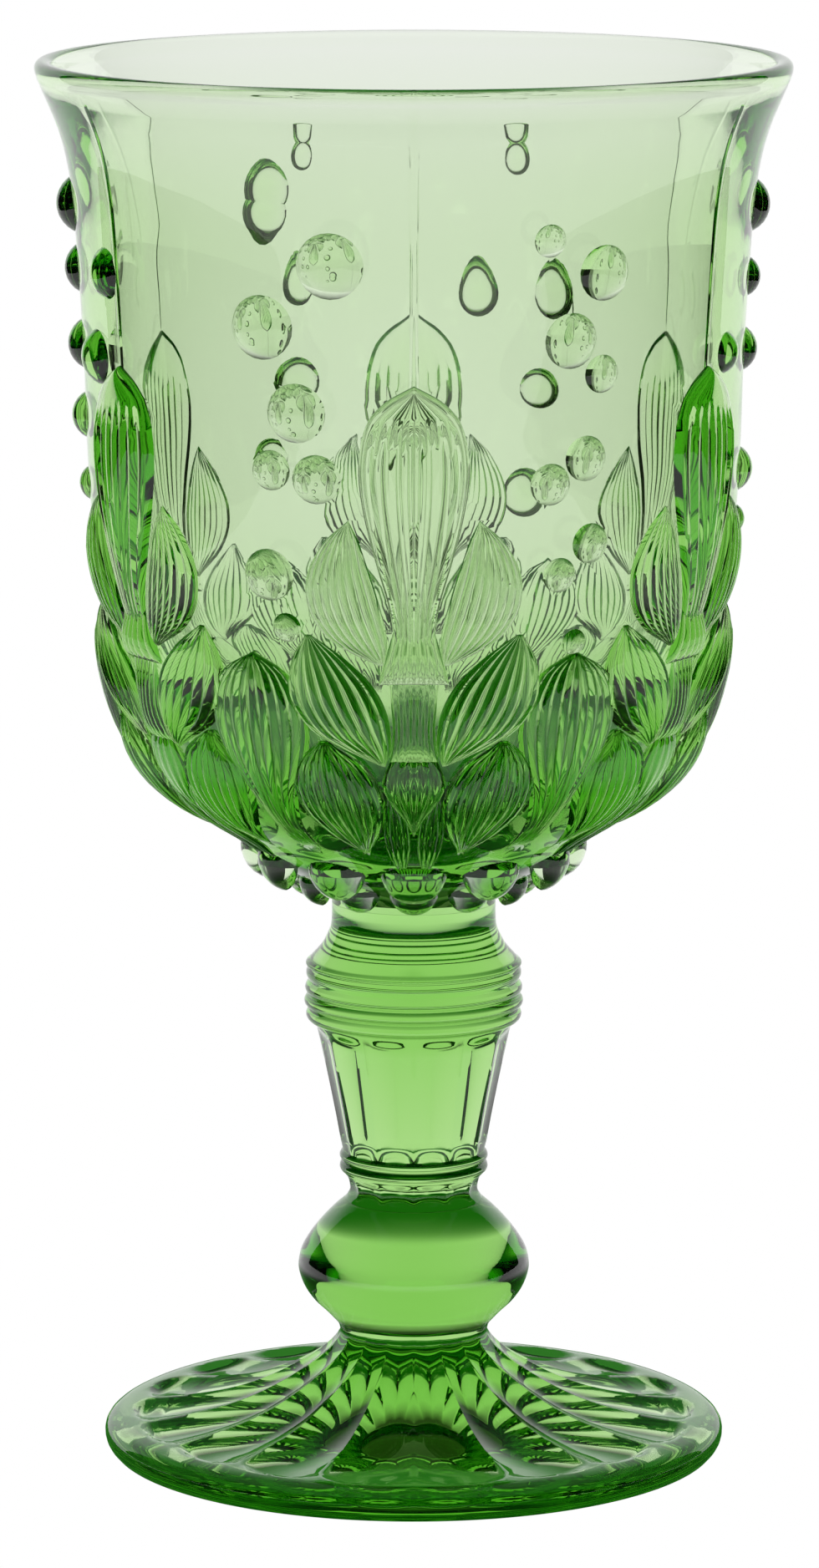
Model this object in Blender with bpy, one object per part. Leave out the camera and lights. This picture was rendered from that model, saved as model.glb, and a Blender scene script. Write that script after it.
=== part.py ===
"""Pressed green glass goblet: bowl, stem, knop and foot, each a solid of its own.

Blender 4.5, metres, +Z up. The foot rests on z = 0 and the axis is the Z axis.
One motif of the bowl's relief faces -Y, and it comes six times round the bowl.
Every piece is a turned body: a profile is spun round Z, then the mould's relief
or flutes move its outer points in or out along their radius.
"""

import math

import bmesh
import bpy
from mathutils import Matrix, Vector

MM = 0.001

# Joints: the glass pieces are stuck together hot, and the model keeps a hairline between them.
JOINT_GAP = 0.3 * MM

# Foot
FOOT_RADIUS = 36.8 * MM
FOOT_HEIGHT = 14.9 * MM
FOOT_EDGE = 3.4 * MM  # thickness of the plain band at the rim of the foot
FOOT_BAND = 3.5 * MM  # width of that band, outside the petals
FOOT_NECK_RADIUS = 8.7 * MM
FOOT_HOLLOW = 1.2 * MM  # how far the middle of the underside is raised
REST_RING = 5.5 * MM  # width of the flat ring that it stands on
FOOT_PETALS = 18
FOOT_PETAL_DEPTH = 0.9 * MM

# Knop, the swelling between foot and stem
KNOP_RADIUS = 13.7 * MM
KNOP_HEIGHT = 14.5 * MM
KNOP_TOP_RADIUS = 8.0 * MM

# Stem
STEM_RADIUS = 8.5 * MM  # at the narrow end of the fluted taper
SHOULDER_RADIUS = 12.8 * MM
COLLAR_RADIUS = 9.67 * MM  # where the stem meets the bowl
SMALL_FLUTES_HEIGHT = 3.1 * MM
SMALL_FLUTES_RADIUS = 7.6 * MM
LOWER_BAND = 3.0 * MM
TAPER = 14.4 * MM
UPPER_BAND = 7.4 * MM
COLLAR = 7.8 * MM
BAND_GROOVE = 0.35 * MM
LOWER_RINGS = 2
UPPER_RINGS = 4
STEM_FLUTES = 12
STEM_FLUTE_DEPTH = 0.5 * MM

# Bowl
BOWL_HEIGHT = 99.0 * MM
RIM_RADIUS = 43.9 * MM
BODY_RADIUS = 38.4 * MM
CALYX_RADIUS = 20.6 * MM
CALYX_HEIGHT = 7.5 * MM
WALL = 4.0 * MM
RIM_WALL = 2.6 * MM
CAVITY_FLOOR = 12.0 * MM  # solid glass between the bowl's underside and its cavity
MOTIFS = 6
BUD_RISE = 2.2 * MM
LEAF_RISE = 1.9 * MM
MELON_RISE = 2.0 * MM
LUMP_RISE = 1.5 * MM
DOME_SHARE = 0.6  # a dome's rise over its radius

CALYX_LUMPS = ((4.6, 3.4),)  # height in mm and radius in mm of each tier of lumps
LEAF_ROOT = 0.7  # how deep a leaf sinks into the wall, over its rise
LEAF_SINK = 0.2 * MM  # how far below the wall a leaf's two tips lie

# Faces round each piece
LEAF_SIDES = 8
LEAF_RINGS = 5
DOME_SIDES = 8
DOME_RINGS = 4
BOWL_COLUMNS = 36
STEM_COLUMNS = 3 * STEM_FLUTES
KNOP_COLUMNS = 36
FOOT_COLUMNS = 3 * FOOT_PETALS

PITCH = 360.0 / MOTIFS

# Outlines of the relief: (height above the bowl's underside in mm, left edge, right edge),
# with the edges in degrees from the middle of the motif. A leaf is mirrored to the other side.
BUD = ((65.5, 0, 0), (63.5, -6, 6), (61, -8.5, 8.5), (55, -9.4, 9.4), (49, -8, 8), (44, -6, 6),
       (39, -4.3, 4.3), (35, -4.8, 4.8), (32, -6, 6), (30.5, -5.4, 5.4), (27.5, -3.8, 3.8),
       (24.5, -3.8, 3.8), (20, -6.6, 6.6), (18, -3, 3), (16, 0, 0))
UPPER_LEAF = ((50.5, -10, -10), (47, -14.8, -8.6), (44, -17, -7.2), (41, -18.6, -5.8),
              (38, -17.8, -4.8), (36, -14.5, -4.8), (33.8, -6, -6))
LOWER_LEAF = ((36.5, -18, -18), (34.5, -21.5, -12), (32, -23, -7.6), (29.5, -23.4, -5.6),
              (27, -21.4, -4.5), (24.5, -14, -4.4), (22, -6, -6))
BULB = ((23.5, -17, -17), (21, -22.5, -10), (18, -24.5, -7), (15, -23, -7.4), (11.5, -17, -12))
MELON = ((33.5, 0, 0), (31.5, -6.2, 6.2), (28, -9.3, 9.3), (24, -9.6, 9.6), (20, -6.8, 6.8),
         (16, -3.6, 3.6), (11, 0, 0))

# Domes in the plain panels between motifs, panel by panel round the bowl from the front:
# (degrees from the panel's middle, height above the bowl's underside in mm, radius in mm).
PANELS = (
    ((-7.3, 81.7, 1.9), (3.1, 77.8, 3.2), (-2.9, 70.3, 3.2), (3.2, 66.3, 2.2), (0.4, 56.8, 2.6),
     (-6.3, 54.1, 2.4), (1.8, 47.1, 2.3), (-4.1, 43.7, 2), (-0.3, 35.8, 1.5)),
    ((-22, 66.6, 2.4), (0, 82.2, 3.1), (0, 73.8, 2.3), (1, 65.3, 2.6), (0, 51.3, 2.6),
     (-2, 45.5, 1.7)),
    ((17.4, 71, 2.6), (10, 85.5, 1.7), (1.5, 70, 2.8), (4.5, 57.5, 2.8), (7, 43.5, 3.2)),
    ((-0.5, 82.5, 3.4), (0.6, 77.5, 3.3), (-8.5, 85.7, 1.4), (-7, 72.5, 2.2), (-6.5, 59.5, 3.2),
     (0, 48, 2.4)),
    ((26, 76, 3), (20, 66, 3.2), (0, 82.3, 3.3), (-3, 74.6, 2.9), (0.5, 66, 2.9), (0, 57.6, 2.7),
     (-1, 49.5, 2), (0, 42, 1.8)),
    ((16.1, 79.1, 3.8), (3.9, 71.9, 3.7), (9.8, 62.3, 3.4), (5.1, 55.7, 2.3), (13.3, 54.9, 2.8),
     (4.1, 43.8, 3), (7.1, 37.8, 1.7)),
)


def clear_scene():
    """Removes every object, so that the script gives the same model in any file."""
    for old in list(bpy.data.objects):
        bpy.data.objects.remove(old)


def smooth_line(stations, steps):
    """Points on a smooth curve through (radius, height) stations, with that many steps in each span."""
    points = [Vector((radius, height)) for radius, height in stations]
    ends = [2 * points[0] - points[1]] + points + [2 * points[-1] - points[-2]]
    line = []
    for i, count in enumerate(steps):
        a, b, c, d = ends[i:i + 4]
        for k in range(count):
            t = k / count
            line.append(0.5 * (2 * b + (c - a) * t + (2 * a - 5 * b + 4 * c - d) * t ** 2
                               + (3 * b - a - 3 * c + d) * t ** 3))
    line.append(points[-1])
    return [(max(0.0, p.x), p.y) for p in line]


def turned_body(name, profile, columns, shape=None):
    """A closed body: the profile spun round Z from -Y, so that columns and flutes line up in front.

    shape(angle, radius, height) moves a point's radius.
    """
    mesh = bpy.data.meshes.new(name)
    body = bmesh.new()
    line = [body.verts.new((0.0, -radius, height)) for radius, height in profile]
    edges = [body.edges.new(pair) for pair in zip(line, line[1:])]
    bmesh.ops.spin(body, geom=line + edges, axis=(0, 0, 1), cent=(0, 0, 0), angle=math.tau,
                   steps=columns, use_merge=True)
    bmesh.ops.remove_doubles(body, verts=body.verts, dist=0.001 * MM)
    if shape:
        for vert in body.verts:
            radius = math.hypot(vert.co.x, vert.co.y)
            if radius > 0:
                grown = shape(math.atan2(vert.co.y, vert.co.x), radius, vert.co.z) / radius
                vert.co.x *= grown
                vert.co.y *= grown
    bmesh.ops.holes_fill(body, edges=[e for e in body.edges if e.is_boundary])
    bmesh.ops.recalc_face_normals(body, faces=body.faces)
    body.to_mesh(mesh)
    body.free()
    mesh.shade_smooth()
    mesh.set_sharp_from_angle(angle=math.radians(50))
    piece = bpy.data.objects.new(name, mesh)
    bpy.context.scene.collection.objects.link(piece)
    return piece


def glass(name, colour):
    """Clear coloured glass."""
    material = bpy.data.materials.new(name)
    material.use_nodes = True
    surface = material.node_tree.nodes["Principled BSDF"]
    surface.inputs["Base Color"].default_value = (*colour, 1.0)
    surface.inputs["Metallic"].default_value = 0.0
    surface.inputs["Roughness"].default_value = 0.04
    surface.inputs["IOR"].default_value = 1.52
    surface.inputs["Transmission Weight"].default_value = 1.0
    return material


def edges_at(outline, height):
    """The left and right edge of an outline at a height in mm."""
    for (top, left_a, right_a), (bottom, left_b, right_b) in zip(outline, outline[1:]):
        if height >= bottom:
            share = min(1.0, (top - height) / (top - bottom))
            return left_a + share * (left_b - left_a), right_a + share * (right_b - right_a)
    return outline[-1][1:]


def on_wall(radius_at, degrees, height, rise):
    """The point at that angle from the front motif and that height in mm, rise metres off the wall."""
    angle = math.radians(degrees - 90)
    radius = radius_at(height * MM) + rise
    return Vector((radius * math.cos(angle), radius * math.sin(angle), height * MM))


def add_leaf(body, radius_at, outline, middle, rise, mirrored=False):
    """A rounded leaf bent onto the wall: a ball stretched to fill the outline, half sunk in the glass."""
    top, bottom = outline[0][0], outline[-1][0]
    ball = bmesh.ops.create_uvsphere(body, u_segments=LEAF_SIDES, v_segments=LEAF_RINGS, radius=1)
    for vert in ball["verts"]:
        height = (top + bottom) / 2 + vert.co.z * (top - bottom) / 2
        left, right = edges_at(outline, height)
        girth = math.hypot(vert.co.x, vert.co.y)
        turn = vert.co.x / girth if girth > 0.001 else 0.0
        across = (left + right) / 2 + turn * (right - left) / 2
        across = -across if mirrored else across
        out = rise * vert.co.y * (1 if vert.co.y > 0 else LEAF_ROOT) - LEAF_SINK
        vert.co = on_wall(radius_at, middle + across, height, out)


def add_dome(body, radius_at, degrees, height, radius, rise):
    """A round boss on the wall: a ball flattened along the radius."""
    turn = Matrix.Rotation(math.radians(degrees), 4, "Z")
    size = Matrix.Diagonal((radius * MM, rise, radius * MM, 1))
    place = Matrix.Translation(on_wall(radius_at, degrees, height, 0))
    bmesh.ops.create_uvsphere(body, u_segments=DOME_SIDES, v_segments=DOME_RINGS, radius=1,
                              matrix=place @ turn @ size)


def make_relief(radius_at):
    """Everything that stands out from the bowl's wall, as closed bodies in one helper object."""
    body = bmesh.new()
    for motif in range(MOTIFS):
        middle = motif * PITCH
        add_leaf(body, radius_at, BUD, middle, BUD_RISE)
        add_leaf(body, radius_at, MELON, middle + PITCH / 2, MELON_RISE)
        for outline in (UPPER_LEAF, LOWER_LEAF, BULB):
            for mirrored in (False, True):
                add_leaf(body, radius_at, outline, middle, LEAF_RISE, mirrored)
        for across, up, radius in PANELS[motif]:
            add_dome(body, radius_at, middle + PITCH / 2 + across, up, radius,
                     DOME_SHARE * radius * MM)
        for half in (0, PITCH / 2):
            for up, radius in CALYX_LUMPS:
                add_dome(body, radius_at, middle + half, up, radius, LUMP_RISE)
    bmesh.ops.recalc_face_normals(body, faces=body.faces)
    mesh = bpy.data.meshes.new("bowl_relief")
    body.to_mesh(mesh)
    body.free()
    relief = bpy.data.objects.new("bowl_relief", mesh)
    bpy.context.scene.collection.objects.link(relief)
    relief.hide_render = True
    relief.display_type = "WIRE"
    return relief


def make_bowl():
    """The bowl: relief outside, a smooth cavity inside, thick glass under it and a rounded rim."""
    body = BODY_RADIUS
    top = BOWL_HEIGHT
    outside = smooth_line([
        (COLLAR_RADIUS, 0),
        (CALYX_RADIUS, CALYX_HEIGHT),
        (body - 7.8 * MM, 15.5 * MM),
        (body - 3.1 * MM, 28.5 * MM),
        (body - 0.5 * MM, 48 * MM),
        (body, top - 33 * MM),
        (body + 1.1 * MM, top - 15 * MM),
        (RIM_RADIUS, top - 1.2 * MM),
    ], (3, 2, 3, 3, 2, 2, 3))
    inner = body - WALL
    cavity = smooth_line([
        (RIM_RADIUS - RIM_WALL, top - 0.5 * MM),
        (inner + 3.4 * MM, top - 7.5 * MM),
        (inner + 1.4 * MM, top - 15 * MM),
        (inner, top - 33 * MM),
        (inner - 1 * MM, top - 53 * MM),
        (inner - 3.8 * MM, CAVITY_FLOOR + 16 * MM),
        (inner - 13 * MM, CAVITY_FLOOR + 4.5 * MM),
        (0, CAVITY_FLOOR),
    ], (1, 1, 2, 2, 2, 3, 2))
    lip = [(RIM_RADIUS - 0.8 * MM, top - 0.1 * MM), (RIM_RADIUS - 1.7 * MM, top)]
    bowl = turned_body("bowl", outside + lip + cavity, BOWL_COLUMNS)

    def radius_at(height):
        for (low_r, low_z), (high_r, high_z) in zip(outside, outside[1:]):
            if height <= high_z:
                return low_r + (high_r - low_r) * (height - low_z) / (high_z - low_z)
        return RIM_RADIUS

    relief = make_relief(radius_at)
    relief.parent = bowl
    union = bowl.modifiers.new("relief", "BOOLEAN")
    union.operation = "UNION"
    union.solver = "EXACT"
    union.use_self = True
    union.object = relief
    return bowl


def ringed_band(start, length, radius_a, radius_b, rings):
    """Profile of a band of rings: for each ring a foot, a crown and the groove above it."""
    line = []
    for k in range(rings):
        for share, sunk in ((0.12, 0.0), (0.62, 0.0), (0.9, BAND_GROOVE)):
            part = (k + share) / rings
            line.append((radius_a + (radius_b - radius_a) * part - sunk, start + length * part))
    return line


def flute_depth(angle, count, depth):
    """Depth of concave flutes at an angle in degrees: 0 on each ridge, full in each middle."""
    pitch = 360.0 / count
    place = 2 * (((angle / pitch) % 1) - 0.5)
    return depth * (1 - place * place)


def make_stem():
    """The stem: short flutes, a ringed band, a fluted taper, a wider ringed band and the collar."""
    band_base = SMALL_FLUTES_HEIGHT
    taper_base = band_base + LOWER_BAND
    upper_base = taper_base + TAPER
    shoulder = upper_base + UPPER_BAND
    top = shoulder + COLLAR
    profile = [(SMALL_FLUTES_RADIUS, 0), (SMALL_FLUTES_RADIUS, 0.5 * band_base),
               (SMALL_FLUTES_RADIUS + 0.15 * MM, band_base)]
    profile += ringed_band(band_base, LOWER_BAND, STEM_RADIUS + 0.3 * MM, STEM_RADIUS + 0.3 * MM,
                           LOWER_RINGS)
    profile += [(STEM_RADIUS + (SHOULDER_RADIUS - 1.3 * MM - STEM_RADIUS) * k / 4,
                 taper_base + TAPER * (k + 0.1) / 4.2) for k in range(5)]
    profile += ringed_band(upper_base, UPPER_BAND, SHOULDER_RADIUS - 0.3 * MM, SHOULDER_RADIUS,
                           UPPER_RINGS)
    profile += smooth_line([(SHOULDER_RADIUS - 0.1 * MM, shoulder + 0.3 * MM),
                            (COLLAR_RADIUS + 1.2 * MM, top - 5 * MM),
                            (COLLAR_RADIUS, top - 2 * MM),
                            (COLLAR_RADIUS, top)], (2, 2, 1))

    def shape(angle, radius, height):
        degrees = math.degrees(angle) + 90
        in_taper = taper_base < height < upper_base
        in_small = height < band_base - 0.1 * MM
        if in_taper or in_small:
            return radius - flute_depth(degrees, STEM_FLUTES, STEM_FLUTE_DEPTH)
        return radius

    return turned_body("stem", profile, STEM_COLUMNS, shape), top


def make_knop():
    """The knop: a plain turned swelling, steeper above than below."""
    bottom = FOOT_NECK_RADIUS + 0.5 * MM
    profile = smooth_line([
        (bottom, 0),
        (bottom + 0.75 * (KNOP_RADIUS - bottom), 0.24 * KNOP_HEIGHT),
        (KNOP_RADIUS, 0.46 * KNOP_HEIGHT),
        (KNOP_TOP_RADIUS + 0.65 * (KNOP_RADIUS - KNOP_TOP_RADIUS), 0.76 * KNOP_HEIGHT),
        (KNOP_TOP_RADIUS, KNOP_HEIGHT),
    ], (3, 3, 3, 3))
    return turned_body("knop", profile, KNOP_COLUMNS)


def make_foot():
    """The foot: a hollowed cone of petals that runs out into a plain round edge."""
    neck = FOOT_NECK_RADIUS
    reach = FOOT_RADIUS - FOOT_BAND
    high = FOOT_HEIGHT - FOOT_EDGE
    top = [
        (neck + 0.4 * MM, FOOT_HEIGHT),
        (neck, FOOT_HEIGHT - 1.2 * MM),
        (neck + 0.16 * (reach - neck), FOOT_EDGE + 0.57 * high),
        (neck + 0.4 * (reach - neck), FOOT_EDGE + 0.25 * high),
        (reach, FOOT_EDGE + 0.35 * MM),
        (FOOT_RADIUS - 1.2 * MM, FOOT_EDGE),
    ]
    edge = [(FOOT_RADIUS - 0.2 * MM, 0.76 * FOOT_EDGE), (FOOT_RADIUS, 0.5 * FOOT_EDGE),
            (FOOT_RADIUS - 0.3 * MM, 0.18 * FOOT_EDGE), (FOOT_RADIUS - 1 * MM, 0)]
    rest = FOOT_RADIUS - 1 * MM - REST_RING
    under = [(rest, 0), (0.6 * rest, 0.75 * FOOT_HOLLOW), (0, FOOT_HOLLOW)]
    profile = smooth_line(top, (1, 3, 3, 5, 1)) + edge + under
    inner_end = neck + 1 * MM

    def shape(angle, radius, height):
        on_top = height > FOOT_EDGE * 0.99 and radius < reach
        if not on_top or radius < inner_end:
            return radius
        along = (radius - inner_end) / (reach - inner_end)
        depth = FOOT_PETAL_DEPTH * min(1.0, 4 * along) * min(1.0, 6 * (1 - along))
        return radius - flute_depth(math.degrees(angle) + 90, FOOT_PETALS, depth)

    return turned_body("foot", profile, FOOT_COLUMNS, shape)


def main():
    clear_scene()
    root = bpy.data.objects.new("goblet", None)
    bpy.context.scene.collection.objects.link(root)
    foot = make_foot()
    knop = make_knop()
    stem, stem_height = make_stem()
    bowl = make_bowl()
    knop.location.z = FOOT_HEIGHT + JOINT_GAP
    stem.location.z = knop.location.z + KNOP_HEIGHT + JOINT_GAP
    bowl.location.z = stem.location.z + stem_height + JOINT_GAP
    looks = (
        (foot, "foot_glass", (0.16, 0.42, 0.10)),
        (knop, "knop_glass", (0.30, 0.58, 0.16)),
        (stem, "stem_glass", (0.36, 0.66, 0.24)),
        (bowl, "bowl_glass", (0.50, 0.68, 0.42)),
    )
    for piece, name, colour in looks:
        piece.data.materials.append(glass(name, colour))
        piece.parent = root


main()
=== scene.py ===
# %% [markdown]
# # A pressed green glass goblet
#
# This lesson makes the look of a pressed-glass goblet around a fixed frame. The frame holds four plain
# solids: bowl, stem, knop and foot. Here each one gets its real surface: ribbed leaves, round domes, rings,
# flutes and petals, and glass that is darker where it is thicker.

# %% Load the frame
import math

import bpy
import numpy as np
from mathutils import Matrix, Vector


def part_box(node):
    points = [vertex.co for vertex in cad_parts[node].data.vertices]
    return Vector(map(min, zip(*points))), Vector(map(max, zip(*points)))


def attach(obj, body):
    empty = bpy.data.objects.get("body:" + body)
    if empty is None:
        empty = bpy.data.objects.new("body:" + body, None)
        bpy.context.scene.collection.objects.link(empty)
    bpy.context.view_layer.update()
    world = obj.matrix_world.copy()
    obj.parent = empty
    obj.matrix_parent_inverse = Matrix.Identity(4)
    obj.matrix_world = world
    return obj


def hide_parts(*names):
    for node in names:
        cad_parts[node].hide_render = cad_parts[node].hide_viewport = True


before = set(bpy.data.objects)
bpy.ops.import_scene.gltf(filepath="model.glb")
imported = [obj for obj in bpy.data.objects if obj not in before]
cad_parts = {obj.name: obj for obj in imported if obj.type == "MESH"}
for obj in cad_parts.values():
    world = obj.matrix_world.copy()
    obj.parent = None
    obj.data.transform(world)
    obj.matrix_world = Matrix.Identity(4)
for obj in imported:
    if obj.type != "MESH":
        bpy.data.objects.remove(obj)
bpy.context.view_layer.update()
print("frame:", sorted(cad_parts))

# %% [markdown]
# ## Where the pieces meet
#
# The glass pieces are stuck together hot. In the frame a hairline is left between them, so the joint planes
# here lie in the middle of those hairlines. Sizes of the relief are given in millimetres, heights above the
# table.

# %% Joint planes
MM = 0.001


def middle_of_gap(lower, upper):
    """Height in mm half way between the top of one node and the bottom of the next."""
    return (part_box(lower)[1].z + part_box(upper)[0].z) / 2 / MM


FOOT_JOINT = middle_of_gap("foot", "knop")
KNOP_JOINT = middle_of_gap("knop", "stem")
STEM_JOINT = middle_of_gap("stem", "bowl")
RIM_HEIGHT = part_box("bowl")[1].z / MM
JOINT_SLIT = 0.01  # mm that each piece stops short of the joint plane
print("joints at", [round(height, 2) for height in (FOOT_JOINT, KNOP_JOINT, STEM_JOINT)])
print("rim at", round(RIM_HEIGHT, 2))

# %% [markdown]
# ## Turning a piece
#
# A round glass piece is a profile spun round its axis. By hand one would place a single point, extrude it
# along the profile and use Spin. The same is done here. The profile is a smooth curve through a few
# stations, each a radius and a height, because glass has no straight lines or hard corners.

# %% Tools for turned pieces
SAME_POINT = 0.001 * MM  # points of a spun piece closer than this become one


def only(piece):
    """Selects that object and nothing else."""
    bpy.ops.object.select_all(action="DESELECT")
    piece.select_set(True)
    bpy.context.view_layer.objects.active = piece


def edit_all(piece):
    """Opens edit mode with everything selected."""
    only(piece)
    bpy.ops.object.mode_set(mode="EDIT")
    bpy.ops.mesh.select_all(action="SELECT")


def between(a, b, c, d, t):
    """A share t of the way from b to c, on a smooth curve that comes from a and goes on to d."""
    return 0.5 * (2 * b + (c - a) * t + (2 * a - 5 * b + 4 * c - d) * t ** 2
                  + (3 * b - a - 3 * c + d) * t ** 3)


def smooth_line(stations, spacing):
    """Points about that many mm apart on a smooth curve through (radius, height) stations in mm."""
    points = [Vector(station) for station in stations]
    ends = [2 * points[0] - points[1]] + points + [2 * points[-1] - points[-2]]
    line = []
    for i in range(len(points) - 1):
        a, b, c, d = ends[i:i + 4]
        count = max(1, round((c - b).length / spacing))
        line += [between(a, b, c, d, k / count) for k in range(count)]
    return [(max(0.0, p.x), max(0.0, p.y)) for p in line] + [tuple(points[-1])]


def turned(name, line, columns):
    """Spins a line of (radius, height) points in mm round the axis, from -Y, into one closed skin."""
    bpy.ops.mesh.primitive_plane_add(size=MM)
    piece = bpy.context.object
    piece.name = name
    edit_all(piece)
    bpy.ops.mesh.merge(type="CENTER")
    bpy.ops.transform.translate(value=(0, -line[0][0] * MM, line[0][1] * MM))
    for (radius_a, height_a), (radius_b, height_b) in zip(line, line[1:]):
        step = (0, (radius_a - radius_b) * MM, (height_b - height_a) * MM)
        bpy.ops.mesh.extrude_vertices_move(TRANSFORM_OT_translate={"value": step})
    bpy.ops.mesh.select_all(action="SELECT")
    bpy.ops.mesh.spin(steps=columns, angle=math.tau, center=(0, 0, 0), axis=(0, 0, 1), use_auto_merge=True)
    bpy.ops.mesh.select_all(action="SELECT")
    bpy.ops.mesh.remove_doubles(threshold=SAME_POINT)
    bpy.ops.mesh.normals_make_consistent(inside=False)
    bpy.ops.object.mode_set(mode="OBJECT")
    return piece


def points_of(piece):
    """The piece's points as an array, in mm."""
    points = np.empty(len(piece.data.vertices) * 3)
    piece.data.vertices.foreach_get("co", points)
    return points.reshape(-1, 3) / MM


def put_points(piece, points):
    """Moves the piece's points to an array of places in mm."""
    piece.data.vertices.foreach_set("co", (points * MM).ravel())
    piece.data.update()


def bearing(points):
    """Degrees round the axis from the front, 0 at -Y and growing towards +X."""
    return np.degrees(np.arctan2(points[:, 0], -points[:, 1]))


def grow(piece, change):
    """Moves points along their radius: change(bearing, radius, height) gives how far, in mm."""
    points = points_of(piece)
    radius = np.hypot(points[:, 0], points[:, 1])
    outward = points[:, :2] / np.maximum(radius, 0.001)[:, None]
    points[:, :2] += outward * change(bearing(points), radius, points[:, 2])[:, None]
    put_points(piece, points)


# %% [markdown]
# ## The bowl's wall
#
# The wall is one turned body: outside, rounded rim, then the cavity down to its floor. The outside line is
# kept as a function of height too, because every leaf and dome is laid on it. The rim is a fine bead that
# turns outwards.

# %% The wall
WALL_COLUMNS = 160
WALL_SPACING = 1.9  # mm between the rings of points on the wall
RIM_SPACING = 0.35  # the same on the rim's bead
COLLAR_RADIUS = 9.67
WALL_OUTSIDE = [
    (9.75, STEM_JOINT + 0.8), (11.2, 67.6), (14.4, 69.6), (18.4, 72.2), (22.0, 75.0), (25.4, 77.2),
    (28.4, 79.6), (31.0, 82.8), (33.0, 87.0), (34.8, 93.0), (36.2, 100.0), (37.4, 109.0), (38.1, 120.0),
    (38.4, 130.0), (39.0, 141.0), (39.7, 150.0), (40.7, 155.4), (41.9, 158.9), (42.9, 161.2), (43.65, 163.0),
]
RIM_BEAD = [
    (43.9, 163.9), (43.8, 164.55), (43.35, 164.95), (42.7, RIM_HEIGHT), (42.0, 164.75), (41.6, 164.0),
]
CAVITY = [
    (41.4, 163.0), (40.3, 161.2), (38.7, 158.2), (37.3, 154.5), (36.2, 150.0), (35.4, 145.0), (34.9, 137.0),
    (34.6, 128.0), (34.2, 118.0), (33.7, 112.0), (32.9, 106.0), (31.7, 101.0), (30.2, 97.0), (28.1, 93.0),
    (24.5, 88.5), (20.9, 85.0), (16.9, 82.0), (12.6, 79.9), (8.5, 78.5), (4.5, 77.6), (0.0, 77.3),
]
outside_line = smooth_line(WALL_OUTSIDE, WALL_SPACING)
wall_line = [(0.0, STEM_JOINT + JOINT_SLIT), (COLLAR_RADIUS, STEM_JOINT + JOINT_SLIT)]
wall_line += outside_line[:-1]
wall_line += smooth_line([WALL_OUTSIDE[-1]] + RIM_BEAD + CAVITY[:1], RIM_SPACING)[:-1]
wall_line += smooth_line(CAVITY, WALL_SPACING)
bowl = turned("bowl_glass", wall_line, WALL_COLUMNS)
WALL_HEIGHTS = [height for _, height in outside_line]
WALL_RADII = [radius for radius, _ in outside_line]


def wall_radius(height):
    """Radius in mm of the wall's outside at a height."""
    return np.interp(height, WALL_HEIGHTS, WALL_RADII)


print("wall:", len(bowl.data.polygons), "faces")

# %% [markdown]
# ## One pressed leaf
#
# Every leaf of the relief is a crowned scale with fine ribs that run from tip to tip. It is modelled flat:
# a grid is given five columns of faces for each rib, extruded into a slab, and then bent onto the wall. The
# outline gives the left and the right edge at a few heights, so the ribs follow the leaf's shape as they do
# in the mould.

# %% Tools for leaves
RIB_COLUMNS = 5
LEAF_ROOT = 1.1  # mm that a leaf goes into the wall
SAME_LEAF_POINT = 0.004 * MM  # points of a leaf closer than this become one
EVEN_ROWS = 0.3  # how far the rows, which crowd towards the tips, are evened out
BLUNT_TIPS = 0.6  # below 1, a leaf rises quickly from its tips
RIB_MIDDLE = 0.6  # the part of a rib's height that leaves the leaf as thick as it was
RIBS_BEGIN = 0.06  # share of the leaf's length in which its ribs begin
RIBS_END = 0.05  # share in which they run out


def curve_at(heights, values, height):
    """A smooth curve through values at falling heights, read at any height between them."""
    places = np.arange(len(heights))
    spot = np.interp(-height, [-h for h in heights], places)
    i = np.clip(spot.astype(int), 0, len(heights) - 2)
    t = spot - i
    padded = np.concatenate([[2 * values[0] - values[1]], values, [2 * values[-1] - values[-2]]])
    return between(padded[i], padded[i + 1], padded[i + 2], padded[i + 3], t)


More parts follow.
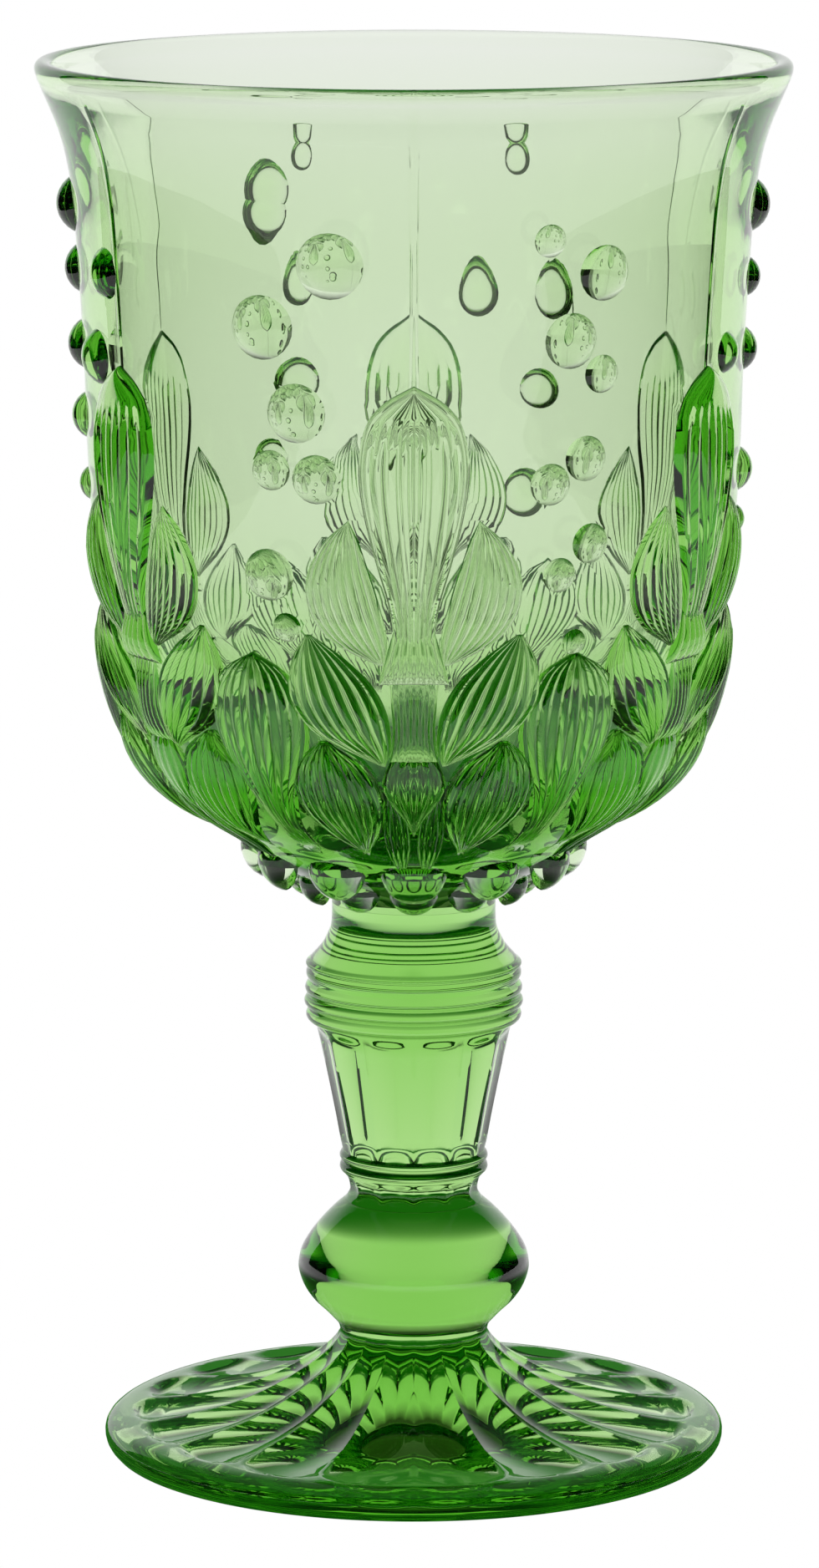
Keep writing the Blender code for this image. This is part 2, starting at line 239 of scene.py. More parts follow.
def pressed_leaf(name, outline, ribs, rise, rib_depth, rows, full_at=0.5, plain_top=0.0, border=0.0,
                 edge=0.12):
    """A ribbed leaf on the front of the wall.

    outline: (height, left, right) stations, top first, with the edges in degrees.
    full_at: the share of the way down at which the leaf stands out most.
    plain_top: the share at the top that has no ribs.
    border: the share of each half that is a plain rounded border.
    edge: how high its rim stands, over its rise.
    """
    bpy.ops.object.select_all(action="DESELECT")
    bpy.ops.mesh.primitive_grid_add(x_subdivisions=ribs * RIB_COLUMNS, y_subdivisions=rows, size=2)
    leaf = bpy.context.object
    leaf.name = name
    edit_all(leaf)
    bpy.ops.mesh.extrude_region_move(TRANSFORM_OT_translate={"value": (0, 0, 1)})
    bpy.ops.object.mode_set(mode="OBJECT")
    flat = points_of(leaf) * MM  # runs from -1 to 1 across and up
    heights = np.array([h for h, _, _ in outline])
    across, down, top = flat[:, 0], (1 - flat[:, 1]) / 2, flat[:, 2] > 0.5
    swing = np.cos(math.pi * down)
    down = 0.5 - 0.5 * swing * (1 - EVEN_ROWS + EVEN_ROWS * np.abs(swing))
    height = heights[0] + (heights[-1] - heights[0]) * down
    left = curve_at(heights, np.array([a for _, a, _ in outline], float), height)
    right = curve_at(heights, np.array([b for _, _, b in outline], float), height)
    left, right = np.minimum(left, right), np.maximum(left, right)
    turn = np.radians((left + right) / 2 + across * (right - left) / 2)
    crown = edge + (1 - edge) * np.sqrt(np.maximum(0, 1 - across ** 2))
    warped = down ** (math.log(0.5) / math.log(full_at))
    along = np.sin(math.pi * np.clip(warped, 0, 1)) ** BLUNT_TIPS
    field = 1 - border
    lobe = np.abs(np.sin(math.pi * ribs * (across / field + 1) / 2))
    if border:
        lobe = np.where(np.abs(across) > field, np.sin(math.pi * (np.abs(across) - field) / border), lobe)
    fade = np.clip((down - plain_top) / RIBS_BEGIN, 0, 1) * np.clip((1 - down) / RIBS_END, 0, 1)
    lift = rise * crown * along + rib_depth * (lobe - RIB_MIDDLE) * fade * np.minimum(1, 2 * along)
    radius = wall_radius(height) + np.where(top, lift, -LEAF_ROOT)
    put_points(leaf, np.column_stack([radius * np.sin(turn), -radius * np.cos(turn), height]))
    edit_all(leaf)
    bpy.ops.mesh.remove_doubles(threshold=SAME_LEAF_POINT)
    bpy.ops.mesh.normals_make_consistent(inside=False)
    bpy.ops.object.mode_set(mode="OBJECT")
    return leaf


def turned_copy(piece, degrees, mirrored=False):
    """A copy with its own mesh, turned round the axis, and mirrored left to right first if asked."""
    copy = piece.copy()
    copy.data = piece.data.copy()
    bpy.context.scene.collection.objects.link(copy)
    if mirrored:
        copy.data.transform(Matrix.Scale(-1, 4, Vector((1, 0, 0))))
        copy.data.flip_normals()
    copy.data.transform(Matrix.Rotation(math.radians(degrees), 4, "Z"))
    return copy


def ring_of(pieces, name):
    """Joins pieces that don't touch each other into one object."""
    bpy.ops.object.select_all(action="DESELECT")
    for piece in pieces:
        piece.select_set(True)
    bpy.context.view_layer.objects.active = pieces[0]
    if len(pieces) > 1:
        bpy.ops.object.join()
    pieces[0].name = name
    return pieces[0]


def melt_in(body, part):
    """Unites a part with the body, as glass is one piece, and removes the part."""
    only(body)
    union = body.modifiers.new("melt", "BOOLEAN")
    union.operation = "UNION"
    union.solver = "MANIFOLD"
    union.object = part
    before = len(body.data.polygons)
    bpy.ops.object.modifier_apply(modifier=union.name)
    print("melted in", part.name, ":", before, "->", len(body.data.polygons), "faces")
    bpy.data.objects.remove(part)


# %% [markdown]
# ## The motif
#
# The relief is one motif that comes six times round the bowl: a long bud, two tiers of leaves beside it,
# bulbs and a skirt under it, and a melon between two motifs. The lower leaves lie under the upper ones, as
# scales do.

# %% Outlines of the motif
MOTIFS = 6
PITCH = 360 / MOTIFS
# each station is a height in mm, and the left and right edge there in degrees
BUD = [(131.6, 0, 0), (130.0, -4.4, 4.4), (128.0, -7.4, 7.4), (125.0, -9.0, 9.0), (121.0, -9.4, 9.4),
       (116.0, -8.3, 8.3), (111.0, -6.4, 6.4), (106.5, -4.5, 4.5), (103.0, -3.6, 3.6), (100.0, -3.0, 3.0)]
UPPER_SKIRT = [(105.0, -3.0, 3.0), (102.0, -4.4, 4.4), (99.5, -5.6, 5.6), (97.4, -6.4, 6.4)]
LOWER_SKIRT = [(99.0, -4.6, 4.6), (95.0, -4.2, 4.2), (91.5, -4.0, 4.0), (88.0, -4.8, 4.8)]
UPPER_LEAF = [(116.3, -11.2, -11.2), (114.2, -15.0, -9.6), (111.4, -17.8, -8.2), (108.6, -19.0, -6.8),
              (105.0, -18.0, -5.4), (102.0, -14.0, -4.6), (99.6, -6.2, -5.2)]
LOWER_LEAF = [(103.0, -19.5, -18.5), (100.5, -22.0, -12.6), (97.5, -23.2, -7.8), (94.5, -22.6, -5.2),
              (91.5, -19.0, -4.3), (89.4, -12.6, -4.4), (87.6, -6.2, -5.6)]
BULB = [(90.5, -18.0, -16.5), (88.0, -23.0, -10.0), (85.0, -24.6, -6.8), (81.5, -23.6, -6.0),
        (78.5, -19.6, -8.0), (75.6, -14.2, -12.6)]
HEART = [(88.6, -4.4, 4.4), (85.5, -6.4, 6.4), (83.0, -5.0, 5.0), (80.4, -1.8, 1.8), (78.4, 0, 0)]
INNER_PETAL = [(83.6, -5.6, -4.0), (81.0, -6.8, -1.4), (78.0, -7.4, -0.8), (75.0, -7.2, -1.2),
               (72.8, -5.2, -2.6)]
MELON = [(100.6, 0, 0), (98.6, -6.0, 6.0), (95.5, -9.2, 9.2), (91.5, -10.0, 10.0), (87.5, -8.4, 8.4),
         (84.0, -5.6, 5.6), (80.0, -3.6, 3.6), (76.0, -3.0, 3.0)]
print("motifs:", MOTIFS, "every", PITCH, "degrees")

# %% Press the motif round the bowl
TIERS = (
    # name, outline, ribs, rise, rib depth, rows, full_at, plain_top, border, whether it is a mirrored pair,
    # and degrees from the motif's middle
    ("melons", MELON, 9, 2.0, 0.45, 28, 0.4, 0.04, 0.12, False, PITCH / 2),
    ("inner_petals", INNER_PETAL, 4, 0.9, 0.25, 11, 0.5, 0.0, 0.0, True, 0),
    ("bulbs", BULB, 9, 2.1, 0.45, 20, 0.45, 0.03, 0.1, True, 0),
    ("hearts", HEART, 5, 1.2, 0.12, 12, 0.45, 0.0, 0.0, False, 0),
    ("lower_leaves", LOWER_LEAF, 6, 2.0, 0.5, 24, 0.55, 0.0, 0.2, True, 0),
    ("lower_skirts", LOWER_SKIRT, 7, 1.3, 0.2, 12, 0.7, 0.0, 0.0, False, 0),
    ("upper_skirts", UPPER_SKIRT, 7, 1.6, 0.25, 12, 0.7, 0.0, 0.0, False, 0),
    ("upper_leaves", UPPER_LEAF, 8, 1.8, 0.3, 24, 0.5, 0.0, 0.0, True, 0),
    ("buds", BUD, 7, 2.2, 0.5, 42, 0.36, 0.15, 0.24, False, 0),
)
for name, outline, ribs, rise, rib_depth, rows, full_at, plain_top, border, paired, offset in TIERS:
    leaf = pressed_leaf(name, outline, ribs, rise, rib_depth, rows, full_at, plain_top, border)
    copies = [turned_copy(leaf, offset + k * PITCH, mirrored)
              for k in range(MOTIFS) for mirrored in ((False, True) if paired else (False,))]
    bpy.data.objects.remove(leaf)
    melt_in(bowl, ring_of(copies, name))

# %% [markdown]
# ## Mould seams
#
# The mould opens in parts, and where they meet a fine ridge is left in the glass. It runs from the rim down
# to each bud. It is made as one more leaf, very narrow and low.

# %% Mould seams
SEAM_EDGE = 0.75  # degrees to each side
SEAM_RISE = 0.18
SEAM_ROWS = 16
SEAM = [(height, -SEAM_EDGE, SEAM_EDGE) for height in (161.5, 150.0, 140.0, 130.0)]
seam = pressed_leaf("seam", SEAM, ribs=1, rise=SEAM_RISE, rib_depth=0.0, rows=SEAM_ROWS, edge=0.0)
melt_in(bowl, ring_of([turned_copy(seam, k * PITCH) for k in range(MOTIFS)], "seams"))
bpy.data.objects.remove(seam)

# %% [markdown]
# ## Domes
#
# Round drops of glass rise in the plain panels between the motifs, with no rule to them. Each is a cap of a
# ball: a ball is placed with its centre inside the wall and the part that would reach the cavity is cut off
# with Bisect.

# %% Domes on the panels
DOME_RISE = 0.6  # over its radius on the wall
DOME_ROOT = 1.2  # mm that it goes into the wall
DOME_SEGMENTS = 24
DOME_RINGS = 14
PANELS = (
    # for each dome: degrees from the panel's middle, height, and radius on the wall
    ((-7.3, 147.7, 1.9), (3.1, 143.8, 3.2), (-2.9, 136.3, 3.2), (3.2, 132.3, 2.2), (0.4, 122.8, 2.6),
     (-6.3, 120.1, 2.4), (1.8, 113.1, 2.3), (-4.1, 109.7, 2), (-0.3, 101.8, 1.5)),
    ((-22, 132.6, 2.4), (0, 148.2, 3.1), (0, 139.8, 2.3), (1, 131.3, 2.6), (0, 117.3, 2.6), (-2, 111.5, 1.7)),
    ((17.4, 134, 2.6), (10, 147, 1.7), (1.5, 134.3, 2.8), (4.5, 123, 2.8), (7, 109.5, 3.2)),
    ((-0.5, 144, 3.3), (0.2, 141.1, 3.3), (-8.5, 147.3, 1.4), (-7, 135, 2.2), (-6.5, 124, 3.2),
     (0, 114, 2.4)),
    ((26, 142, 3), (20, 132, 3.2), (0, 148.3, 3.3), (-3, 140.6, 2.9), (0.5, 132, 2.9), (0, 123.6, 2.7),
     (-1, 115.5, 2), (0, 108, 1.8)),
    ((16.1, 145.1, 3.8), (3.9, 137.9, 3.7), (9.8, 128.3, 3.4), (5.1, 121.7, 2.3), (13.3, 120.9, 2.8),
     (4.1, 109.8, 3), (7.1, 103.8, 1.7)),
)


def dome(degrees, height, radius, rise):
    """A cap of a ball on the wall, its pole pointing outwards."""
    ball = (radius ** 2 + rise ** 2) / (2 * rise)
    reach = wall_radius(height) + rise - ball
    bpy.ops.object.select_all(action="DESELECT")
    bpy.ops.mesh.primitive_uv_sphere_add(segments=DOME_SEGMENTS, ring_count=DOME_RINGS, radius=ball * MM)
    cap = bpy.context.object
    edit_all(cap)
    cut_height = (ball - rise - DOME_ROOT) * MM
    bpy.ops.mesh.bisect(plane_co=(0, 0, cut_height), plane_no=(0, 0, 1), use_fill=True, clear_inner=True)
    bpy.ops.object.mode_set(mode="OBJECT")
    outward = Matrix.Rotation(math.radians(90), 4, "X")
    place = Matrix.Translation((0, -reach * MM, height * MM))
    cap.data.transform(Matrix.Rotation(math.radians(degrees), 4, "Z") @ place @ outward)
    return cap


def melt_domes(name, domes):
    """Melts in a row of domes, every other one at a time, because neighbours may overlap."""
    melt_in(bowl, ring_of(domes[0::2], name + "_even"))
    melt_in(bowl, ring_of(domes[1::2], name + "_odd"))


for panel, drops in enumerate(PANELS):
    middle = (panel + 0.5) * PITCH
    melt_domes("domes", [dome(middle + across, up, size, DOME_RISE * size) for across, up, size in drops])

# %% [markdown]
# ## Calyx
#
# Under the bowl, where it closes in on the stem, stand two even rings of small lumps. They are caps of a
# ball too.

# %% Lumps of the calyx
LUMPS = 12
LUMP_RINGS = ((72.6, 3.2, 1.5), (69.3, 2.3, 1.1))  # height, radius and rise
for height, size, rise in LUMP_RINGS:
    melt_domes("lumps", [dome(k * 360 / LUMPS, height, size, rise) for k in range(LUMPS)])

# %% [markdown]
# Where two skins cross, the joins leave a few points almost on top of each other, with faces of no area
# between them. Merging those points takes the faces away.

# %% Merge by distance
CLOSE_POINTS = 0.002 * MM
edit_all(bowl)
bpy.ops.mesh.remove_doubles(threshold=CLOSE_POINTS)
bpy.ops.object.mode_set(mode="OBJECT")
print("bowl:", len(bowl.data.polygons), "faces")

# %% [markdown]
# ## Stem
#
# The stem is a baluster: short flutes, two beads, a fluted taper, three rings, a band with a small ring, and
# a shoulder that narrows to the collar. It is turned first, then the flutes are hollowed by moving points
# inwards, with a ridge facing the front.

# %% Stem
STEM_FLUTES = 12
STEM_COLUMNS = 12 * STEM_FLUTES
NECK_RADIUS = 8.15  # where the knop meets the stem
BEAD_STEPS = 6
BEAD_FULLNESS = 0.7  # below 1, a ring is fuller than a plain wave


def bead(height, width, radius, groove):
    """Points of one rounded ring: from its lower groove over its crown."""
    return [(groove + (radius - groove) * math.sin(math.pi * k / BEAD_STEPS) ** BEAD_FULLNESS,
             height + width * (k / BEAD_STEPS - 0.5)) for k in range(BEAD_STEPS)]


stem_start, stem_end = KNOP_JOINT + JOINT_SLIT, STEM_JOINT - JOINT_SLIT
neck = [(NECK_RADIUS, stem_start), (7.65, 30.7), (7.55, 31.3), (7.75, 32.2), (8.3, 33.1)]
taper = [(8.4, 35.85), (8.6, 36.6), (9.2, 39.9), (10.15, 44.7), (11.2, 49.6), (11.7, 51.4)]
band = [(12.4, 56.4), (12.72, 57.2), (12.6, 57.9)]
shoulder = [(12.3, 58.9), (11.85, 59.4), (10.9, 60.5), (10.25, 61.7), (9.78, 62.9), (COLLAR_RADIUS, 64.4),
            (COLLAR_RADIUS, stem_end)]
stem_line = [(0.0, stem_start)]
stem_line += smooth_line(neck, spacing=0.3)
stem_line += bead(33.85, 1.3, 8.8, 8.35) + bead(35.15, 1.3, 8.8, 8.35)
stem_line += smooth_line(taper, spacing=0.7)
stem_line += bead(52.3, 1.6, 12.75, 12.2) + bead(53.9, 1.6, 12.95, 12.3) + bead(55.5, 1.6, 12.85, 12.3)
stem_line += smooth_line(band, spacing=0.3)[:-1]
stem_line += bead(58.4, 0.8, 12.75, 12.4)
stem_line += smooth_line(shoulder, spacing=0.4)
stem_line += [(0.0, stem_end)]
stem = turned("stem_glass", stem_line, STEM_COLUMNS)

# %% Flutes of the stem
TAPER_FLUTES = 0.55  # mm deep
SHORT_FLUTES = 0.45
END_FACES = 5.0  # mm of radius, inside which there are only the flat ends


def scoop(degrees, count):
    """Shape of concave flutes: 0 on each ridge and 1 in the middle of each hollow."""
    place = 2 * ((degrees * count / 360) % 1) - 1
    return 1 - place ** 2


def window(height, low, high, blend):
    """1 well between two heights and 0 outside them, with a blend of that many mm at both ends."""
    return np.clip((height - low) / blend, 0, 1) * np.clip((high - height) / blend, 0, 1)


def stem_flutes(degrees, radius, height):
    """How far the flutes take each point: the long ones of the taper and the short ones of the neck."""
    long = TAPER_FLUTES * window(height, 36.1, 50.9, blend=1.0)
    short = SHORT_FLUTES * window(height, KNOP_JOINT + 0.6, 33.0, blend=0.8)
    return np.where(radius > END_FACES, -(long + short) * scoop(degrees, STEM_FLUTES), 0)


grow(stem, stem_flutes)
print("stem:", len(stem.data.polygons), "faces")

# %% [markdown]
# ## Knop
#
# The knop is a plain swelling between two narrow necks, widest near its middle. It is turned and has no
# relief.

# %% Knop
KNOP_COLUMNS = 180
knop_start, knop_end = FOOT_JOINT + JOINT_SLIT, KNOP_JOINT - JOINT_SLIT
swelling = [(9.15, knop_start), (10.6, 16.6), (11.95, 17.9), (13.0, 19.4), (13.6, 21.0), (13.68, 22.2),
            (13.3, 23.8), (12.3, 25.5), (10.95, 27.2), (9.4, 28.8), (NECK_RADIUS, knop_end)]
knop_line = [(0.0, knop_start)] + smooth_line(swelling, spacing=0.35) + [(0.0, knop_end)]
knop = turned("knop_glass", knop_line, KNOP_COLUMNS)
print("knop:", len(knop.data.polygons), "faces")

# %% [markdown]
# ## Foot
#
# The foot is a cone that runs out flat. Eighteen petals are scooped out of its top, with rounded outer
# ends, and a plain edge is left outside them. The underside is slightly hollow, so that it stands on a
# ring.

# %% Foot
PETALS = 18
FOOT_COLUMNS = 16 * PETALS
foot_end = FOOT_JOINT - JOINT_SLIT
underside = [(0.0, 1.3), (12.0, 1.15), (22.0, 0.8)]
ring_and_edge = [(29.5, 0.15), (30.5, 0.0), (35.3, 0.0), (36.1, 0.25), (36.65, 1.0), (36.8, 2.0),
                 (36.5, 2.8), (35.6, 3.4), (34.0, 3.75)]
slope = [(34.0, 3.75), (31.0, 4.0), (27.0, 4.5), (23.0, 5.3), (19.5, 6.4), (16.2, 7.9), (13.4, 9.5),
         (11.0, 11.2), (9.5, 12.6), (8.75, 13.9), (9.1, foot_end)]
foot_line = underside + smooth_line(ring_and_edge, spacing=0.5)[:-1]
foot_line += smooth_line(slope, spacing=0.55) + [(0.0, foot_end)]
foot = turned("foot_glass", foot_line, FOOT_COLUMNS)

# %% Petals of the foot
PETAL_START, PETAL_END = 8.6, 33.4  # radii
PETAL_DEPTHS = [(PETAL_START, 0.0), (10.5, 0.45), (14.0, 0.7), (20.0, 0.9), (28.0, 1.0), (PETAL_END, 0.9)]
PETAL_ROUND = 1.6  # mm that the outer end of a petal curves back at its sides
PETAL_BANK = 1.4  # mm in which it rises to the plain edge
TOP_FROM, TOP_TO = 3.55, 14.4  # heights of the foot's top
TOP_RADIUS = 35
CONE_RADIUS = 15  # inside it the top grows steep, and petals sink inwards as well as down
CONE_BLEND = 6
MOST_INWARDS = 0.75


def sink_petals(piece):
    """Scoops the petals out of the foot's top, straight down and a little inwards."""
    points = points_of(piece)
    radius = np.hypot(points[:, 0], points[:, 1])
    height = points[:, 2]
    on_top = (height > TOP_FROM) & (height < TOP_TO) & (radius > PETAL_START) & (radius < TOP_RADIUS)
    hollow = scoop(bearing(points), PETALS)
    end = PETAL_END - PETAL_ROUND * (1 - hollow)
    reach = np.clip((end - radius) / PETAL_BANK, 0, 1)
    depth = np.interp(radius, *zip(*PETAL_DEPTHS))
    sink = np.where(on_top, depth * hollow * np.sin(reach * math.pi / 2), 0)
    steep = np.clip((CONE_RADIUS - radius) / CONE_BLEND, 0, MOST_INWARDS)
    outward = points[:, :2] / np.maximum(radius, 0.001)[:, None]
    points[:, :2] -= outward * (sink * steep)[:, None]
    points[:, 2] -= sink * (1 - steep)
    put_points(piece, points)


sink_petals(foot)
print("foot:", len(foot.data.polygons), "faces")

# %% [markdown]
# ## Smooth shading
#
# Fire-polished glass is smooth everywhere but in the sharp grooves between ribs and where a leaf meets the
# wall.

# %% Shade the pieces
SHARP_ANGLE = 42  # degrees
for piece in (bowl, stem, knop, foot):
    only(piece)
    bpy.ops.object.shade_smooth_by_angle(angle=math.radians(SHARP_ANGLE))

# %% [markdown]
# ## Green glass
#
# Coloured glass has a clear surface, and its colour comes from inside: light loses red and blue on its way
# through, so thin walls are pale and thick parts are deep green. That is a Volume Absorption inside a clear
# Principled surface. The faces at a joint are inside the glass on the real thing, so they bend no light:
# their index is 1.

# %% Glass
GLASS_INDEX = 1.5
ABSORB_COLOUR = (0.44, 0.81, 0.10)
ABSORB_DENSITY = 96.0
JOINT_REACH = 0.004  # mm past a joint's height in which a face still counts as the joint
HAZE_FROM, HAZE_TO = 0.45, 0.75  # heights of the waviness between which the polish grows duller
MOST_HAZE = 0.03  # roughness


def pressed_skin():
    """Node group: the faint waviness that a mould leaves, as a bump height and a roughness."""
    group = bpy.data.node_groups.new("pressed_skin", "ShaderNodeTree")
    group.interface.new_socket("Scale", in_out="INPUT", socket_type="NodeSocketFloat")
    group.interface.new_socket("Height", in_out="OUTPUT", socket_type="NodeSocketFloat")
    group.interface.new_socket("Roughness", in_out="OUTPUT", socket_type="NodeSocketFloat")
    nodes, links = group.nodes, group.links
    inside, outside = nodes.new("NodeGroupInput"), nodes.new("NodeGroupOutput")
    place = nodes.new("ShaderNodeTexCoord")
    wave = nodes.new("ShaderNodeTexNoise")
    wave.inputs["Detail"].default_value = 1.0
    links.new(place.outputs["Object"], wave.inputs["Vector"])
    links.new(inside.outputs["Scale"], wave.inputs["Scale"])
    links.new(wave.outputs["Fac"], outside.inputs["Height"])
    haze = nodes.new("ShaderNodeMapRange")
    haze.inputs["From Min"].default_value = HAZE_FROM
    haze.inputs["From Max"].default_value = HAZE_TO
    haze.inputs["To Min"].default_value = 0.0
    haze.inputs["To Max"].default_value = MOST_HAZE
    links.new(wave.outputs["Fac"], haze.inputs["Value"])
    links.new(haze.outputs["Result"], outside.inputs["Roughness"])
    return group


skin = pressed_skin()


def index_by_height(nodes, links, low_joint, high_joint):
    """The index of the glass: 1 on faces below one height and above another, which are joints."""
    place, axes = nodes.new("ShaderNodeTexCoord"), nodes.new("ShaderNodeSeparateXYZ")
    links.new(place.outputs["Object"], axes.inputs["Vector"])
    below, above = nodes.new("ShaderNodeMath"), nodes.new("ShaderNodeMath")
    below.operation, above.operation = "LESS_THAN", "GREATER_THAN"
    below.inputs[1].default_value = (low_joint + JOINT_REACH) * MM
    above.inputs[1].default_value = (high_joint - JOINT_REACH) * MM
    links.new(axes.outputs["Z"], below.inputs[0])
    links.new(axes.outputs["Z"], above.inputs[0])
    joint, index = nodes.new("ShaderNodeMath"), nodes.new("ShaderNodeMath")
    joint.operation, index.operation = "MAXIMUM", "MULTIPLY_ADD"
    links.new(below.outputs[0], joint.inputs[0])
    links.new(above.outputs[0], joint.inputs[1])
    links.new(joint.outputs[0], index.inputs[0])
    index.inputs[1].default_value = 1 - GLASS_INDEX
    index.inputs[2].default_value = GLASS_INDEX
    return index.outputs[0]


def green_glass(name, tint, low_joint, high_joint, wave_scale, wave_depth):
    """Clear glass with its colour inside, and with faces at its joints that bend no light."""
    material = bpy.data.materials.new(name)
    material.use_nodes = True
    nodes, links = material.node_tree.nodes, material.node_tree.links
    surface = nodes["Principled BSDF"]
    surface.inputs["Base Color"].default_value = (*tint, 1)
    surface.inputs["Metallic"].default_value = 0.0
    surface.inputs["Transmission Weight"].default_value = 1.0
    links.new(index_by_height(nodes, links, low_joint, high_joint), surface.inputs["IOR"])
    wave, bump = nodes.new("ShaderNodeGroup"), nodes.new("ShaderNodeBump")
    wave.node_tree = skin
    wave.inputs["Scale"].default_value = wave_scale
    bump.inputs["Distance"].default_value = wave_depth * MM
    links.new(wave.outputs["Height"], bump.inputs["Height"])
    links.new(wave.outputs["Roughness"], surface.inputs["Roughness"])
    links.new(bump.outputs["Normal"], surface.inputs["Normal"])
    depth = nodes.new("ShaderNodeVolumeAbsorption")
    depth.inputs["Color"].default_value = (*ABSORB_COLOUR, 1)
    depth.inputs["Density"].default_value = ABSORB_DENSITY
    links.new(depth.outputs["Volume"], nodes["Material Output"].inputs["Volume"])
    return material


# %% Put the glass on the pieces
NO_JOINT_BELOW, NO_JOINT_ABOVE = -1.0, 500.0
LOOKS = (
    # piece, node, tint, heights of its joints, scale of its waviness and depth of it in mm
    (bowl, "bowl", (0.97, 0.945, 1.0), STEM_JOINT + JOINT_SLIT, NO_JOINT_ABOVE, 90, 0.05),
    (stem, "stem", (1, 1, 1), KNOP_JOINT + JOINT_SLIT, STEM_JOINT - JOINT_SLIT, 160, 0.03),
    (knop, "knop", (1, 1, 1), FOOT_JOINT + JOINT_SLIT, KNOP_JOINT - JOINT_SLIT, 160, 0.03),
    (foot, "foot", (1, 1, 1), NO_JOINT_BELOW, FOOT_JOINT - JOINT_SLIT, 120, 0.03),
)
for piece, node, tint, low_joint, high_joint, wave_scale, wave_depth in LOOKS:
    glass = green_glass(node + "_green", tint, low_joint, high_joint, wave_scale, wave_depth)
    piece.data.materials.clear()
    piece.data.materials.append(glass)
    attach(piece, "root")
    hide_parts(node)
    print(piece.name, "is", glass.name)

# %% [markdown]
# ## Table, light and camera
#
# Clear glass is shown by what is behind it. A white table and a pale room light it from behind, and a
# darker ceiling gives the thick parts their deep tones. The glowing paper under and close round the goblet is
# painted dark green: a painted shadow with painted green light, as if only light that came through the glass
# reached it. The camera is shown plain white there, as in a catalogue, and the glass sees the painted green.

# %% Table
TABLE_RADIUS = 6.0
TABLE_CORNERS = 96
bpy.ops.object.select_all(action="DESELECT")
bpy.ops.mesh.primitive_circle_add(vertices=TABLE_CORNERS, radius=TABLE_RADIUS, fill_type="NGON")
table = bpy.context.object
table.name = "table"

# %% Paper of the table, with a painted shadow round the goblet
# painted shadow: near the goblet the paper glows dark green instead of white, in place of shade and green
# light through the glass
PAINTED_SHADOW_GREEN = (0.03, 0.19, 0.02)
PAINTED_SHADOW_REACH = (0.05, 0.135)  # metres from the axis over which the green turns to white
# a Mix node's colour sockets share their names with others, so they are taken by number
MIX_FIRST, MIX_SECOND, MIX_RESULT = 6, 7, 2
paper = bpy.data.materials.new("table_paper")
paper.use_nodes = True
sheet, sheet_links = paper.node_tree.nodes, paper.node_tree.links
paper_surface = sheet["Principled BSDF"]
paper_surface.inputs["Base Color"].default_value = (0, 0, 0, 1)
paper_surface.inputs["Roughness"].default_value = 0.9
paper_surface.inputs["Specular IOR Level"].default_value = 0.0
paper_surface.inputs["Emission Strength"].default_value = 1.0
# the painted shadow fades out with distance from the axis
spot = sheet.new("ShaderNodeTexCoord")
away = sheet.new("ShaderNodeVectorMath")
painted_shadow_fade = sheet.new("ShaderNodeMapRange")
away.operation = "LENGTH"
painted_shadow_fade.interpolation_type = "SMOOTHSTEP"
painted_shadow_fade.inputs["From Min"].default_value, painted_shadow_fade.inputs["From Max"].default_value = PAINTED_SHADOW_REACH
sheet_links.new(spot.outputs["Object"], away.inputs[0])
sheet_links.new(away.outputs["Value"], painted_shadow_fade.inputs["Value"])
seen = sheet.new("ShaderNodeLightPath")
plain = sheet.new("ShaderNodeMath")
glow = sheet.new("ShaderNodeMix")
plain.operation = "MAXIMUM"
glow.data_type = "RGBA"
sheet_links.new(seen.outputs["Is Camera Ray"], plain.inputs[0])
sheet_links.new(painted_shadow_fade.outputs["Result"], plain.inputs[1])
sheet_links.new(plain.outputs[0], glow.inputs["Factor"])
# painted shadow green near the goblet, plain white glow further out
glow.inputs[MIX_FIRST].default_value = (*PAINTED_SHADOW_GREEN, 1)
glow.inputs[MIX_SECOND].default_value = (1, 1, 1, 1)
sheet_links.new(glow.outputs[MIX_RESULT], paper_surface.inputs["Emission Color"])
table.data.materials.append(paper)

# %% Light
CEILING_FROM, CEILING_TO = 0.3, 0.6  # height of a direction, which is 1 straight up
CEILING_LIGHT = 0.1
world = bpy.data.worlds.new("pale_room")
bpy.context.scene.world = world
world.use_nodes = True
room, room_links = world.node_tree.nodes, world.node_tree.links
direction, split = room.new("ShaderNodeTexCoord"), room.new("ShaderNodeSeparateXYZ")
room_links.new(direction.outputs["Generated"], split.inputs["Vector"])
ceiling = room.new("ShaderNodeMapRange")
ceiling.inputs["From Min"].default_value = CEILING_FROM
ceiling.inputs["From Max"].default_value = CEILING_TO
ceiling.inputs["To Min"].default_value = 1.0
ceiling.inputs["To Max"].default_value = CEILING_LIGHT
room_links.new(split.outputs["Z"], ceiling.inputs["Value"])
room_links.new(ceiling.outputs["Result"], room["Background"].inputs["Strength"])
room["Background"].inputs["Color"].default_value = (1, 1, 1, 1)

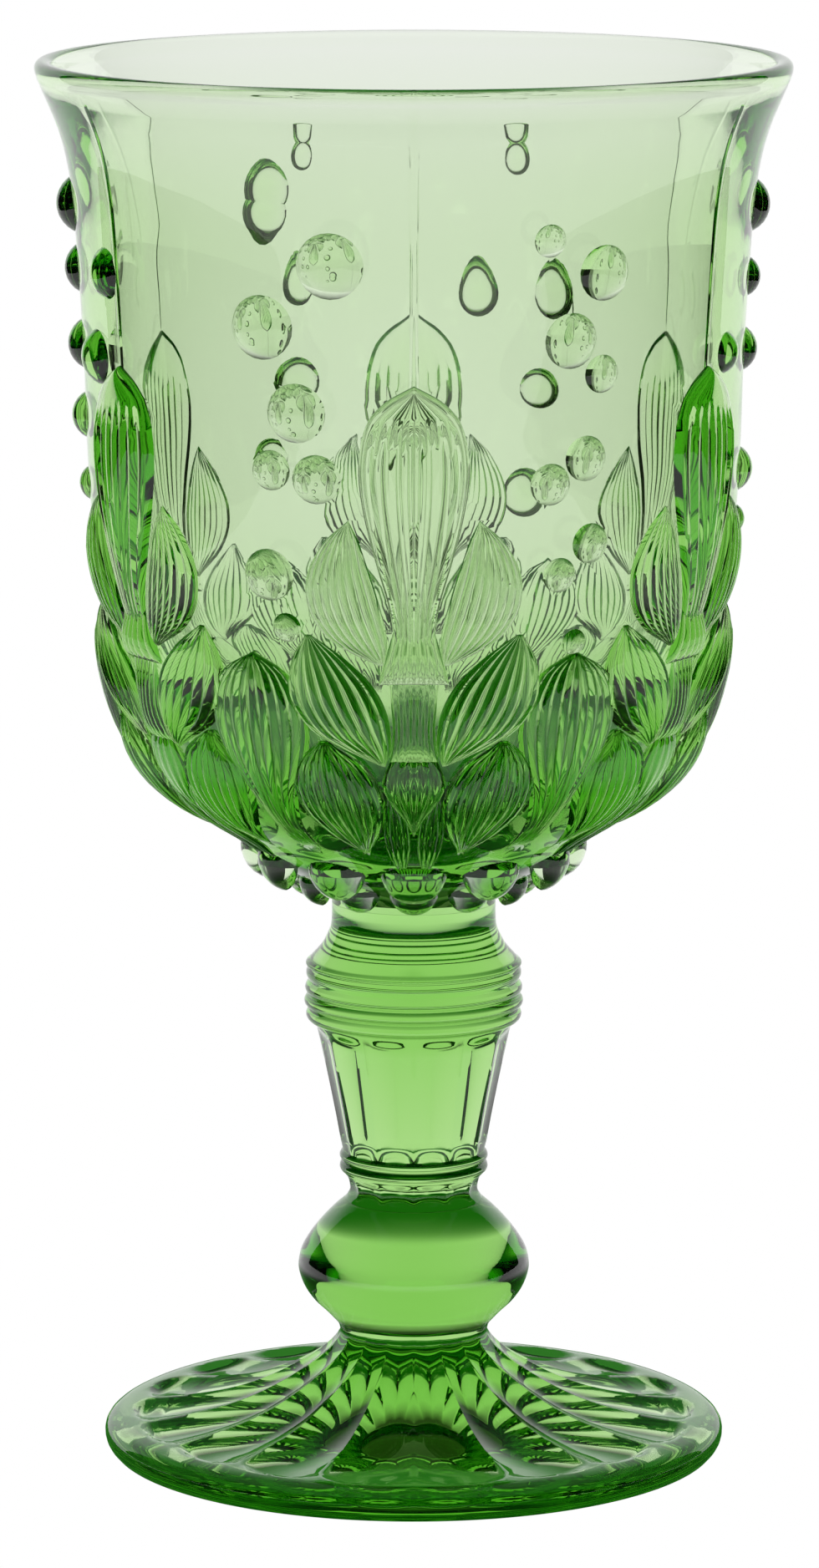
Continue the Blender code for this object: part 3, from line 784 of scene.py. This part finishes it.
# %% Camera
CAMERA_PLACE = Vector((-0.0005, -0.870, 0.235))
CAMERA_DOWN = 10.12  # degrees below level
VIEW_HEIGHT = 4.789  # focal length over the picture's height
camera_data = bpy.data.cameras.new("camera")
camera_data.lens = VIEW_HEIGHT * camera_data.sensor_width
camera = bpy.data.objects.new("camera", camera_data)
bpy.context.scene.collection.objects.link(camera)
camera.location = CAMERA_PLACE
camera.rotation_euler = (math.radians(90 - CAMERA_DOWN), 0, 0)
bpy.context.scene.camera = camera
bpy.context.scene.view_settings.view_transform = "Standard"
print("camera at", tuple(round(value, 4) for value in CAMERA_PLACE), "lens", round(camera_data.lens, 2))

# %% [markdown]
# ## Black cards
#
# Clear glass on white needs something dark to draw its edges. In a studio the glass is turned on the spot
# and the camera, the lights and the cards stay where they are. So the cards hang on the camera: one wide
# card round the lens and one on each side of the glass, out of the picture.

# %% Black cards
card_felt = bpy.data.materials.new("card_felt")
card_felt.use_nodes = True
felt = card_felt.node_tree.nodes["Principled BSDF"]
felt.inputs["Base Color"].default_value = (0.02, 0.02, 0.02, 1)
felt.inputs["Roughness"].default_value = 1.0
felt.inputs["Specular IOR Level"].default_value = 0.0
LENS_CARD = 3.0
BEHIND_LENS = 0.05
SIDE_CARDS = 0.45  # from the line of sight
SIDE_LENGTH = CAMERA_PLACE.length + 0.35  # from the camera to a little past the glass
SIDE_HEIGHT = 1.4
CARDS = (
    # name, place in the camera's space, turn about its upright axis, width, height
    ("lens_card", (0, 0, BEHIND_LENS), 0, LENS_CARD, LENS_CARD),
    ("left_card", (-SIDE_CARDS, 0, -0.5 * SIDE_LENGTH), 90, SIDE_LENGTH, SIDE_HEIGHT),
    ("right_card", (SIDE_CARDS, 0, -0.5 * SIDE_LENGTH), 90, SIDE_LENGTH, SIDE_HEIGHT),
)
for name, place, turn, width, height in CARDS:
    bpy.ops.object.select_all(action="DESELECT")
    bpy.ops.mesh.primitive_plane_add(size=1)
    card = bpy.context.object
    card.name = name
    card.scale = (width, height, 1)
    card.rotation_euler = (0, math.radians(turn), 0)
    card.location = place
    card.data.materials.append(card_felt)
    card.parent = camera

# %% [markdown]
# Light that is caught inside thick glass is reflected many times before it comes out, so it is followed for
# long.

# %% Light paths
BOUNCES = 28
paths = bpy.context.scene.cycles
paths.max_bounces = BOUNCES
paths.glossy_bounces = BOUNCES
paths.transmission_bounces = BOUNCES
